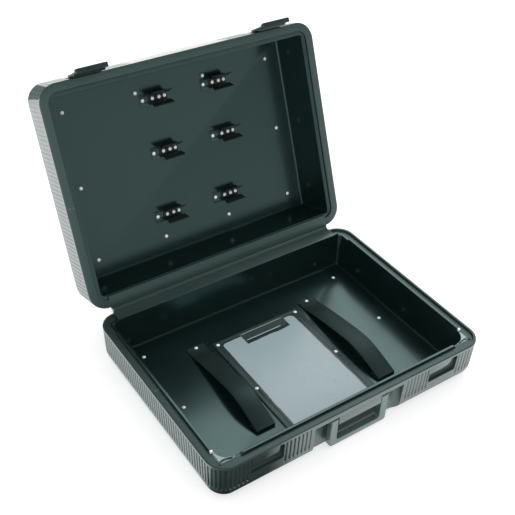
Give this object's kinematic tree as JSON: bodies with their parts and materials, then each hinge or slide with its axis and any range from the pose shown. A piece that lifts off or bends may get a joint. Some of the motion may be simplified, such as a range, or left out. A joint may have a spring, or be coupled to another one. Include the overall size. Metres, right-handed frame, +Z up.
{
  "type": "hard tool case",
  "caption": "Hard black plastic case with a hinged lid, lift latches, folding handle, lined halves, riveted tool clips, hold-down straps and a clear document pocket.",
  "frame": {"origin": "centre of the base's flat underside, halfway across its width and depth", "axes": "+Z up, +Y from the handle side towards the hinge, +X to the right seen from the handle side. The stored pose has the lid resting open on its stops."},
  "size_m": [0.45, 0.5152, 0.398],
  "materials": {
    "shell_plastic": "moulded, fluted on its sides",
    "liner_plastic": "glossy vacuum-formed sheet",
    "handle_plastic": "moulded satin",
    "latch_plastic": "moulded satin",
    "clip_plastic": "moulded satin gloss",
    "strap_plastic": "springy woven-look band",
    "pocket_sheet": "fine-grained vinyl",
    "clear_film": "clear film",
    "hinge_steel": "black painted, satin",
    "pin_steel": "plain drawn wire",
    "rivet_metal": "bright satin heads"
  },
  "bodies": {
    "base": {"base_shell": "shell_plastic", "base_liner": "liner_plastic", "hinge_leaf_base": "hinge_steel", "hinge_pin": "pin_steel", "handle_pins": "pin_steel", "strap_left": "strap_plastic", "strap_right": "strap_plastic", "pocket_backing": "pocket_sheet", "pocket_film": "clear_film", "pocket_hem": "pocket_sheet", "base_liner_rivets": "rivet_metal", "strap_rivets": "rivet_metal", "pocket_rivets": "rivet_metal"},
    "lid": {"lid_shell": "shell_plastic", "lid_liner": "liner_plastic", "hinge_leaf_lid": "hinge_steel", "latch_pin_left": "pin_steel", "latch_pin_right": "pin_steel", "lid_liner_rivets": "rivet_metal", "tool_clip_rivets": "rivet_metal", "tool_clip_top_left": "clip_plastic", "tool_clip_top_right": "clip_plastic", "tool_clip_middle_left": "clip_plastic", "tool_clip_middle_right": "clip_plastic", "tool_clip_bottom_left": "clip_plastic", "tool_clip_bottom_right": "clip_plastic"},
    "handle": {"carry_handle": "handle_plastic"},
    "left_latch": {"latch_left": "latch_plastic"},
    "right_latch": {"latch_right": "latch_plastic"}
  },
  "joints": [
    {"name": "lid_hinge", "type": "hinge", "parent": "base", "child": "lid", "pos_m": [0, 0.17, 0.0652], "axis": [-1, 0, 0], "range_deg": [-111, 0]},
    {"name": "left_latch_pivot", "type": "hinge", "parent": "lid", "child": "left_latch", "pos_m": [-0.149, 0.29832, 0.37103], "axis": [-1, 0, 0], "range_deg": [-11, 73]},
    {"name": "right_latch_pivot", "type": "hinge", "parent": "lid", "child": "right_latch", "pos_m": [0.149, 0.29832, 0.37103], "axis": [-1, 0, 0], "range_deg": [-11, 73]},
    {"name": "handle_pivot", "type": "hinge", "parent": "base", "child": "handle", "pos_m": [0, -0.16025, 0.0485], "axis": [-1, 0, 0], "range_deg": [0, 112]}
  ]
}
